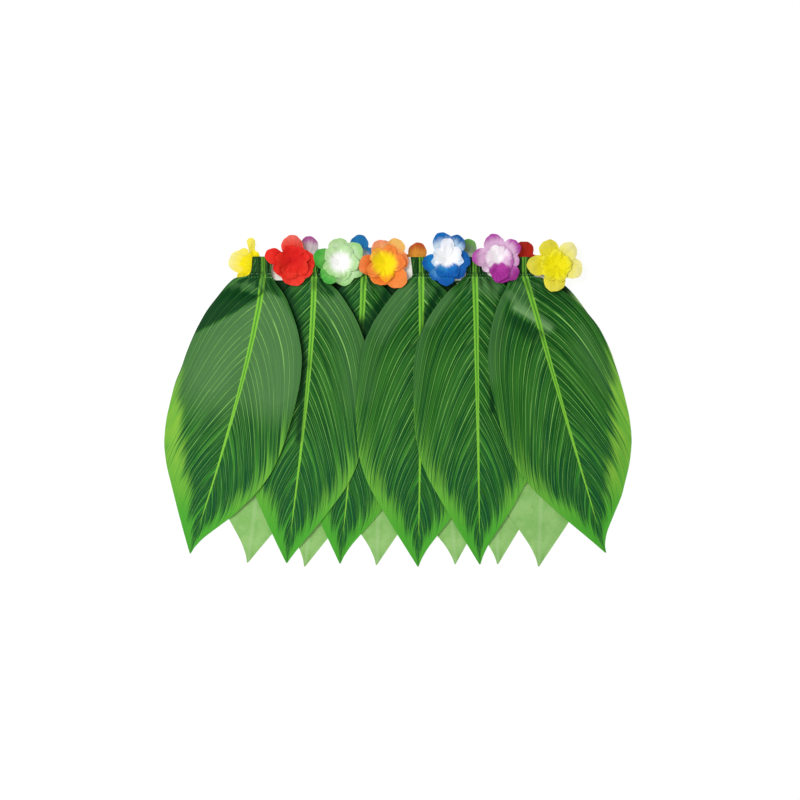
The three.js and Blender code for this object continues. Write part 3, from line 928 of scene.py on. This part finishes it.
leafPrintSheenAndShade = makeLeafPrintSheenAndShade()
leafReverse = makeLeafReverse()
threadFinish = makeThreadFinish()
print("cloth finishes made")


flowerCut = {
    "outer": 33.5,  # radius of a disc
    "inner": 20.8,
    "wall": 0.35,
    "front": (180, 22),  # points round a disc, and rings of them
    "back": (120, 14),
    "cup": {"outer": 0.2, "inner": 0.3},  # how far a rim stands up
    "underBand": 0.1,
}


def petal(turn, reach=1.0, lobe=0.385, lift=0.0, tip="ffffff", base=None):
    # turn: in degrees; reach: of the disc's; lift: of the petal's end in mm; base: colour nearer the middle
    return {"turn": turn, "reach": reach, "lobe": lobe, "lift": lift, "tip": tip, "base": base or tip}


def petals(*rows):
    return [petal(*row) for row in rows]


def evenPetals(turn, tip, base=None, **kinds):
    return [petal(turn + 72 * i, tip=tip, base=base, **kinds) for i in range(5)]


def makeFlower(where, colour, x, y, heart, outer, inner, innerHeart=None):
    # innerHeart: where the heart's colour starts and ends to fade on the upper disc, of its reach
    hearts = ((0.2, 0.5), innerHeart) if innerHeart else ((0.25, 0.55), (0.25, 0.55))
    return {
        "node": f"flower_{where}_{colour}",
        "where": where,
        "slot": f"petal_{colour}",
        "x": x,
        "y": y,
        "heart": heart,
        "outer": outer,
        "inner": inner,
        "heartEnds": {"outer": hearts[0], "inner": hearts[1]},
    }


def backFlower(colour, x, y, heart, turn, outer, inner):
    # One petal stands up over the band, and the four others stay behind it.
    reaches = (1, 0.8, 0.85, 0.85, 0.8)
    lower = [petal(turn + 72 * i, reach, 0.36, 0, *outer) for i, reach in enumerate(reaches)]
    return makeFlower("back", colour, x, y, heart, lower, evenPetals(turn + 36, *inner))


flowers = [
    backFlower("purple", -117, 179, "f0e8ee", 90, ("a4508f", "c8bcc0"), ("b060a0", "e0d4dc")),
    backFlower("blue", -52, 181, "e8eef4", 90, ("1470ae", "1d7ab8"), ("1768aa", "dce6f0")),
    backFlower("orange", 21, 171, "f2d020", 84, ("b8501c", "d89030"), ("e88030", "f0c028")),
    backFlower("green", 86, 176, "eef2ea", 85, ("6aa84e", "7d9a72"), ("8fc270", "e6eee0")),
    backFlower("red", 160, 173, "b01008", 86, ("a81c0c", "b4200c"), ("c01c10", "c01c10")),
    makeFlower(
        "fold", "yellow", -188, 174, "f4e400",
        petals(
            (165, 1.0, 0.42, 0.5, "f4ea90", "f4e45c"), (96, 1.06, 0.17, 0.5, "eee258", "f0e24c"),
            (128, 0.82, 0.2, 0.5, "f4ea80", "f2e450"), (232, 0.86, 0.32, 0, "f2e65c", "f0de20"),
            (300, 0.6, 0.3, 0, "f2e030", "f0dc20"), (20, 0.4, 0.3, 0, "f2e030", "f0dc20"),
        ),
        evenPetals(160, "f4e410", "f4e000", reach=0.9),
    ),
    makeFlower(
        "front", "red", -138, 180, "d01010",
        petals(
            # its petal turned to 90 degrees is paler: painted light from the pale floor showing through the
            # thin cloth
            (90, 0.97, 0.42, 0.5, "ee6a5c", "ec4a3c"), (167, 1.05, 0.32, 0.5, "e8281a", "e01c14"),
            (217, 0.8, 0.42, 0, "e83020", "e02418"), (278, 0.98, 0.5, 0, "ec3c2a", "e62e20"),
            (320, 0.9, 0.46, 0, "e83424", "e2281c"), (-8, 0.88, 0.48, 0.8, "e63022", "de2016"),
        ),
        petals(
            (95, 0.95, 0.56, 0.6, "e4241a", "dc1a12"), (172, 1.0, 0.5, 0.5, "e62818", "de1c12"),
            (262, 1.12, 0.56, 0, "e83222", "e02418"), (320, 1.15, 0.56, 0.3, "e83020", "de1e14"),
            (25, 1.1, 0.56, 0.8, "e4281a", "da1812"),
        ),
        (0.1, 0.45),
    ),
    makeFlower(
        "front", "green", -76, 178, "fcfcfa",
        petals(
            (97, 0.92, 0.42, 0.6, "a6d086", "cfe8bc"), (168, 1.04, 0.4, 0, "40a436", "6cbe54"),
            (230, 0.98, 0.4, 0, "44a83a", "6fc058"), (285, 0.92, 0.42, 0, "94cc7a", "bce0a6"),
            (340, 0.98, 0.42, 0, "9ace80", "c6e6b2"), (38, 1.0, 0.42, 0.6, "9cd082", "c6e6b2"),
        ),
        petals(
            (70, 1.15, 0.56, 0.5, "bce0a6", "dcf0cc"), (140, 1.12, 0.56, 0.5, "b8dea0", "d8eec8"),
            (210, 1.1, 0.56, 0.2, "a8d68c", "d2ecc0"), (282, 1.12, 0.56, 0, "b0da96", "d8eec8"),
            (355, 1.15, 0.56, 0.4, "b8dea0", "dcf0cc"),
        ),
        (0.42, 0.78),
    ),
    makeFlower(
        "front", "orange", -19, 176, "ffe400",
        petals(
            (102, 0.93, 0.42, 0.5, "f2946c", "f6ac68"), (56, 1.1, 0.36, 0.5, "ecb860", "f0924a"),
            (13, 0.92, 0.4, 0.5, "f28a52", "f49044"), (-50, 1.12, 0.42, 0, "f28c40", "f68834"),
            (185, 1.0, 0.38, 0, "ee8040", "e47028"), (250, 0.86, 0.44, 0, "f28c3c", "f27c26"),
        ),
        petals(
            (132, 1.08, 0.5, 0.8, "f8b43c", "ffe414"), (66, 1.16, 0.5, 0.8, "f48838", "fccc28"),
            (5, 1.28, 0.52, 0.8, "f2843a", "fcd424"), (-80, 1.12, 0.48, 0, "f8a81c", "ffdc04"),
            (212, 1.22, 0.5, 0, "f28838", "fccc24"),
        ),
        (0.4, 0.8),
    ),
    makeFlower(
        "front", "blue", 61, 182, "fafafc",
        petals(
            (104, 1.04, 0.4, 0.5, "006cbc", "d4e6f4"), (58, 1.02, 0.35, 0.5, "00589e", "c0daf0"),
            (-5, 0.9, 0.38, 0, "005098", "0062b4"), (-46, 0.92, 0.36, 0, "004a94", "0062b4"),
            (-94, 1.02, 0.4, 0, "0058a8", "0a6cbe"), (196, 0.96, 0.36, 0, "0058a4", "1480ca"),
            (236, 0.95, 0.34, 0, "005eae", "5aa2d8"),
        ),
        petals(
            (88, 1.26, 0.46, 0.4, "eceff8", "fafafc"), (38, 1.0, 0.52, 0.4, "eceff8", "fafafc"),
            (-4, 1.0, 0.48, 0.3, "c8dcf2", "fafafc"), (-64, 1.2, 0.52, 0, "005eb0", "0a74c4"),
            (-112, 1.14, 0.52, 0, "0064b4", "308cd0"), (200, 0.94, 0.5, 0.2, "b8d4ee", "f8f8fc"),
            (150, 0.94, 0.52, 0.4, "dce8f6", "fafafc"),
        ),
        (0.35, 0.62),
    ),
    makeFlower(
        "front", "purple", 127, 183, "fcf6fa",
        petals(
            (106, 0.95, 0.4, 0.5, "b84cac", "e6bce0"), (37, 0.98, 0.35, 0.5, "b03ca2", "e4bcdc"),
            (177, 1.0, 0.36, 0, "b44aa8", "e0b8d8"), (216, 0.74, 0.24, 0, "c070b4", "ecd4e8"),
            (-78, 0.98, 0.4, 0, "a0248e", "b03c9c"), (-47, 1.05, 0.3, 0, "982888", "b458a8"),
            (-8, 0.82, 0.3, 0, "b860ac", "dcb0d4"),
        ),
        petals(
            (110, 0.84, 0.5, 0.4, "f2e2f0", "fcf6fa"), (40, 0.88, 0.48, 0.4, "d496ca", "f6e6f2"),
            (-22, 1.0, 0.46, 0.2, "b85cac", "e4bcdc"), (-84, 1.4, 0.64, 0, "a82e96", "b238a0"),
            (226, 0.86, 0.44, 0, "c880be", "f0dcec"), (175, 0.9, 0.48, 0.4, "d8a0ce", "f8eaf4"),
        ),
        (0.2, 0.45),
    ),
    makeFlower(
        "front", "yellow", 201, 173, "f6ea00",
        petals(
            # its petals turned to 50 and -8 degrees are paler: painted light from the pale floor showing
            # through the thin cloth
            (112, 1.06, 0.385, 0.5, "e6da44", "f0e432"), (50, 1.08, 0.37, 0.5, "f0e898", "f0ea74"),
            (-8, 1.04, 0.4, 0.5, "f0e894", "f0e874"), (265, 0.99, 0.42, 0, "e8dc4c", "ece03c"),
            (178, 1.1, 0.4, 0.5, "e0d644", "ece028"),
        ),
        evenPetals(84, "f0e634", "f2e600", reach=1.0, lobe=0.54),
        (0.2, 0.6),
    ),
]


crimps = table("high waves", (0.35, 7), (0.28, 13), (0.16, 21), (0.08, 34))  # waves: round a disc


def awayFrom(angle, petal):
    # How far each direction is from a petal's own.
    return (angle - math.radians(petal["turn"]) + math.pi) % (2 * math.pi) - math.pi


def petalOutline(petals, angle):
    # The outer edge of round lobes, and how much each petal counts in each direction.
    edges = []
    for p in petals:
        off = awayFrom(angle, p)
        centre = p["reach"] - p["lobe"]
        inside = p["lobe"] ** 2 - (centre * np.sin(off)) ** 2
        edge = centre * np.cos(off) + np.sqrt(np.maximum(inside, 0))
        edges.append(np.where((inside > 0) & (np.cos(off) > 0), edge, 0.3 + 0.15 * np.cos(off)))
    edges = np.array(edges)
    weights = np.exp(18 * (edges - edges.max(axis=0)))
    return edges.max(axis=0), weights / weights.sum(axis=0)


def discSheet(flower, part, order):
    reach = flowerCut[part]
    isBack = flower["where"] == "back"
    facing = -1 if isBack else 1
    around, rings = flowerCut["back" if isBack else "front"]
    angle = np.linspace(0, 2 * math.pi, around, endpoint=False)
    outline, weights = petalOutline(flower[part], angle)
    ring = np.linspace(0.04, 1, rings)[:, None]
    frill = 1 + 0.016 * np.sin(9 * angle + order) + 0.007 * np.sin(23 * angle + 2 * order)
    if part == "inner":
        frill += 0.035 * np.sin(7 * angle + 3 * order) + 0.02 * np.sin(13 * angle + order)
    radius = ring * outline * frill * reach
    x = flower["x"] + radius * np.cos(angle)
    y = flower["y"] + radius * np.sin(angle)
    z = softened(nodeHeight(flower["node"] + "_" + part, x, y), 4, rolled=True)

    # petals lift, crimp and fold along their middles, and the heart is sewn down
    share = radius / reach
    lift = np.array([p["lift"] for p in flower[part]]) @ weights
    crimp = sum(
        c["high"] * np.sin(c["waves"] * angle + (1 + 0.3 * c["waves"]) * order + 1.5 * share) for c in crimps
    )
    middles = np.array([awayFrom(angle, p) for p in flower[part]])
    channel = (np.exp(-((middles / 0.16) ** 2)) * weights).sum(axis=0)
    cup = flowerCut["cup"][part] * share**2.2
    z += facing * (0.6 * lift * share**2 + crimp * share**1.3 - 0.5 * channel * ease(share, 0.2, 0.8) + cup)
    z -= facing * 0.7 * np.exp(-((share * reach / 3.5) ** 2))
    z = settle(x, y, z, flowerCut["wall"], rolled=True)
    if isBack:
        ceiling = band["underside"] - flowerCut["wall"] / 2 - flowerCut["underBand"]
        z = np.where(y > bandBottom, np.minimum(z, ceiling), z)
    return np.stack([x, y, z], axis=-1), angle, share, weights


def petalFinish(flower, part):
    # Thin pressed cloth: its heart, the nearer part of each petal and its end each have their own colour.
    name = flower["node"].replace("flower_", "petals_") + "_" + part
    f = Finish(name, 0.62, 0.08, 0.15)
    spokeX, spokeY, reach = f.parts(f.attribute("spoke"))
    base, tip = f.attribute("petalBase", 0), f.attribute("petalTip", 0)
    fan = f.noise((spokeX * 7, spokeY * 7, reach * 0.8), 3, 0.6)
    rays = f.noise((spokeX * 22, spokeY * 22, reach * 1.2))
    edge = reach + 0.34 * (fan - 0.5) + 0.1 * (rays - 0.5)
    start, end = flower["heartEnds"][part]
    colour = f.mix(edge.rise(start, end), paint(flower["heart"]), base)
    colour = f.mix(edge.rise(0.62, 0.95), colour, tip)
    # fine radial creases painted darker: painted shade in the wrinkles
    crease = rays.rise(0.47, 0.34) * 0.32 * reach.rise(0.15, 0.5)
    f.colour(f.mix(crease, colour, colour, "MULTIPLY"))
    f.bump(rays + 0.4 * fan, 0.5, 0.6 * mm)
    return f.material


def makeDisc(flower, part, order):
    sheet, angle, share, weights = discSheet(flower, part, order)
    ends = np.concatenate([sheet, sheet[:, :1]], axis=1)
    pile.add(ends, flowerCut["wall"])
    rings, around = share.shape
    middle = sheet[0].mean(axis=0)
    points = np.concatenate([[middle], sheet.reshape(-1, 3)])
    faces = [[0, 1 + i, 1 + (i + 1) % around] for i in range(around)]
    for k in range(rings - 1):
        for i in range(around):
            j = (i + 1) % around
            a, b = 1 + k * around, 1 + (k + 1) * around
            faces.append([a + i, b + i, b + j, a + j])
    flat = (sheet[..., :2] - [flower["x"], flower["y"]]).reshape(-1, 2) * mm
    cut = np.concatenate([[[0, 0]], flat])
    spoke = np.stack([0 * share + np.cos(angle), 0 * share + np.sin(angle), share], axis=-1).reshape(-1, 3)
    spoke = np.concatenate([[[1, 0, 0]], spoke])
    attributes = {"spoke": ("FLOAT_VECTOR", spoke)}
    for label, key in (("petalBase", "base"), ("petalTip", "tip")):
        colours = weights.T @ np.array([paint(p[key]) for p in flower[part]])
        grid = np.concatenate([colours[:1], np.tile(colours, (rings, 1))])
        attributes[label] = ("FLOAT_COLOR", grid)
    node = flower["node"] + "_" + part
    piece = wallMesh(node + "_cloth", points, faces, flowerCut["wall"], cut, attributes)
    finish = petalFinish(flower, part)
    for _ in ("upper face", "lower face"):
        piece.data.materials.append(finish)
    sewOn(piece, node)
    rim = share[-1] * flowerCut[part] * mm
    area = float(np.sum(rim**2) / 2 * (2 * math.pi / around))


class Tree:
    # A Geometry Nodes tree, with one method that adds any node to it.
    def __init__(self, name, inputs):
        self.group = bpy.data.node_groups.new(name, "GeometryNodeTree")
        face = self.group.interface
        face.new_socket("Geometry", in_out="INPUT", socket_type="NodeSocketGeometry")
        self.identifiers = {}
        for label, value in inputs.items():
            kind = "NodeSocketInt" if isinstance(value, int) else "NodeSocketFloat"
            if isinstance(value, bpy.types.Material):
                kind = "NodeSocketMaterial"
            socket = face.new_socket(label, in_out="INPUT", socket_type=kind)
            self.identifiers[label] = (socket.identifier, value)
        face.new_socket("Geometry", in_out="OUTPUT", socket_type="NodeSocketGeometry")
        self.input = self.group.nodes.new("NodeGroupInput")

    def given(self, label):
        return self.input.outputs[label]

    def add(self, kind, settings=None, values=None):
        node = self.group.nodes.new(kind)
        for name, value in (settings or {}).items():
            setattr(node, name, value)
        for key, value in (values or {}).items():
            if isinstance(value, bpy.types.NodeSocket):
                self.group.links.new(value, node.inputs[key])
            else:
                node.inputs[key].default_value = value
        return node.outputs[0]

    def maths(self, operation, a, b=0.0):
        return self.add("ShaderNodeMath", {"operation": operation}, {0: a, 1: b})

    def end(self, geometry):
        realized = self.add("GeometryNodeRealizeInstances", {}, {0: geometry})
        values = {"Geometry": realized, "Material": self.given("Material")}
        finished = self.add("GeometryNodeSetMaterial", {}, values)
        out = self.group.nodes.new("NodeGroupOutput")
        self.group.links.new(finished, out.inputs[0])

    def run(self, name, points, edges):
        # Puts the tree on a path of edges, and gives what it makes as a plain piece.
        path = bpy.data.meshes.new(name + "_path")
        path.from_pydata([list(p) for p in points], edges, [])
        holder = link(name + "_path", path)
        modifier = holder.modifiers.new("make", "NODES")
        modifier.node_group = self.group
        for identifier, value in self.identifiers.values():
            modifier[identifier] = value
        holder.update_tag()
        graph = bpy.context.evaluated_depsgraph_get()
        made = bpy.data.meshes.new_from_object(holder.evaluated_get(graph))
        made.name = name
        bpy.data.objects.remove(holder)
        return link(name, made)


def makeElasticFinish():
    f = Finish("elasticWhite", 0.75, 0.3, 0.3)
    place = f.parts(f.objectPlace())
    x, y = place[:2]
    knit = ((x / (1.1 * mm)).toLine() - 0.25) + ((y / (0.9 * mm)).toLine() - 0.25)
    dust = f.noise(place, 3, scale=90)
    colour = f.mix(dust.rise(0.35, 0.75), paint("fbfaf6"), paint("efece2"))
    # the grooves between the ribs are painted darker: painted shade
    groove = (y / (band["ribPitch"] * mm)).toLine().rise(0.12, 0.0)
    f.colour(f.mix(groove * 0.35, colour, paint("cfccc0")))
    f.bump(knit, 0.5, 0.3 * mm)
    return f.material


def makeWaistband():
    tree = Tree("ribbedElastic", {
        "Height": band["height"] * mm,
        "Wall": (band["wall"] - band["ribRoom"]) * mm,
        "Rib Pitch": band["ribPitch"] * mm,
        "Rib Depth": band["ribDepth"] * mm,
        "Material": makeElasticFinish(),
    })
    loop = tree.add("GeometryNodeMeshToCurve", {}, {0: tree.given("Geometry")})
    sides = {0: tree.given("Wall"), 1: tree.given("Height")}
    section = tree.add("GeometryNodeCurvePrimitiveQuadrilateral", {"mode": "RECTANGLE"}, sides)
    section = tree.add("GeometryNodeResampleCurve", {}, {"Curve": section, "Count": 220})
    x = tree.add("ShaderNodeSeparateXYZ", {}, {0: tree.add("GeometryNodeInputPosition")})
    y = x.node.outputs[1]
    turn = tree.maths("DIVIDE", tree.maths("MULTIPLY", y, 2 * math.pi), tree.given("Rib Pitch"))
    rib = tree.maths("MULTIPLY", tree.maths("COSINE", turn), tree.given("Rib Depth"))
    outwards = tree.maths("MULTIPLY", rib, tree.maths("SIGN", x))
    offset = tree.add("ShaderNodeCombineXYZ", {}, {0: outwards})
    section = tree.add("GeometryNodeSetPosition", {}, {"Geometry": section, "Offset": offset})
    tree.end(tree.add("GeometryNodeCurveToMesh", {}, {"Curve": loop, "Profile Curve": section}))

    # the loop's path lies in its own plane first: two long runs and two round folds
    radius = band["fold"] - band["wall"] / 2
    straight = band["length"] / 2 - band["fold"]
    bend = np.linspace(-math.pi / 2, math.pi / 2, 13)
    run = np.linspace(-1, 1, 41)[1:-1] * straight
    half = [(s, -radius) for s in run]
    half += [(straight + radius * math.cos(a), radius * math.sin(a)) for a in bend]
    path = half + [(-px, -py) for px, py in half]
    points = [(px * mm, py * mm, 0) for px, py in path]
    edges = [(i, (i + 1) % len(points)) for i in range(len(points))]
    piece = tree.run("waistband_elastic", points, edges)
    mesh = piece.data
    centre = (bandLow + bandHigh) / 2
    for vertex in mesh.vertices:
        px, py, pz = vertex.co
        vertex.co = (centre.x + px, centre.y - pz, centre.z + py)
    mesh.polygons.foreach_set("use_smooth", [True] * len(mesh.polygons))
    mesh.set_sharp_from_angle(angle=math.radians(40))
    sewOn(piece, "waistband")

    # its upper face joins the pile
    across = np.linspace(-1, 1, 120) * band["length"] / 2 + band["centreX"]
    up = np.linspace(bandBottom, band["top"], 12)
    x, y = np.meshgrid(across, up)
    pile.add(np.stack([x, y, 0 * x + bandFace], axis=-1), 0)


discOrder = itertools.count(1)  # gives each disc its own crimps


def layFlowers(where, parts):
    for part in parts:
        for flower in flowers:
            if flower["where"] == where:
                makeDisc(flower, part, next(discOrder))


# from the table up
layFlowers("back", ("inner", "outer"))
for leaf in backLeaves:
    makeLeaf(leaf, isFront=False)
print("back leaves and flowers laid")
makeWaistband()
layFlowers("fold", ("outer", "inner"))
for leaf in frontLeaves:
    makeLeaf(leaf, isFront=True)
print("front leaves laid")
layFlowers("front", ("outer", "inner"))
print("front flowers sewn on")


studio = {
    "lens": 85,
    "cameraHeight": 2.447,  # in metres, as the floor and the lamps
    "aim": (0.65, 0.65),  # where the camera looks, in mm from the table's middle
    "floorHalf": 3.0,
    "floorDrop": 0.0004,
    "floorGlow": 0.88,
    "surround": 0.42,
    "lamps": [
        {"name": "key", "place": (-0.9, 0.6, 1.9), "size": 1.0, "power": 26},
        {"name": "gloss", "place": (-0.2, -0.75, 1.9), "size": 0.9, "power": 6},
    ],
}


def makeStudio():
    s, low = studio["floorHalf"], -studio["floorDrop"]
    floorMesh = bpy.data.meshes.new("floor")
    corners = [(-s, -s, low), (s, -s, low), (s, s, low), (-s, s, low)]
    floorMesh.from_pydata(corners, [], [(0, 1, 2, 3)])
    f = Finish("floorWhite", 0.9, 0, 0.1)
    f.shader.inputs["Base Color"].default_value = paint("6c6c6c")
    f.shader.inputs["Emission Color"].default_value = paint("ffffff")
    f.shader.inputs["Emission Strength"].default_value = studio["floorGlow"]
    floorMesh.materials.append(f.material)
    link("floor", floorMesh)

    scene = bpy.context.scene
    scene.view_settings.view_transform = "Standard"
    scene.world = bpy.data.worlds.new("studio")
    scene.world.use_nodes = True
    background = scene.world.node_tree.nodes["Background"]
    background.inputs[0].default_value = (1, 1, 1, 1)
    background.inputs[1].default_value = studio["surround"]
    for lamp in studio["lamps"]:
        light = bpy.data.lights.new(lamp["name"], "AREA")
        light.shape = "DISK"
        light.size = lamp["size"]
        light.energy = lamp["power"]
        holder = link(lamp["name"], light)
        holder.location = lamp["place"]
        aim = Vector((0, 0, 0)) - Vector(lamp["place"])
        holder.rotation_euler = aim.to_track_quat("-Z", "Y").to_euler()

    camera = bpy.data.cameras.new("camera")
    camera.lens = studio["lens"]
    scene.camera = link("camera", camera)
    aimX, aimY = tableShift + np.array(studio["aim"]) * mm
    scene.camera.location = (aimX, aimY, studio["cameraHeight"])


makeStudio()
print("studio set")
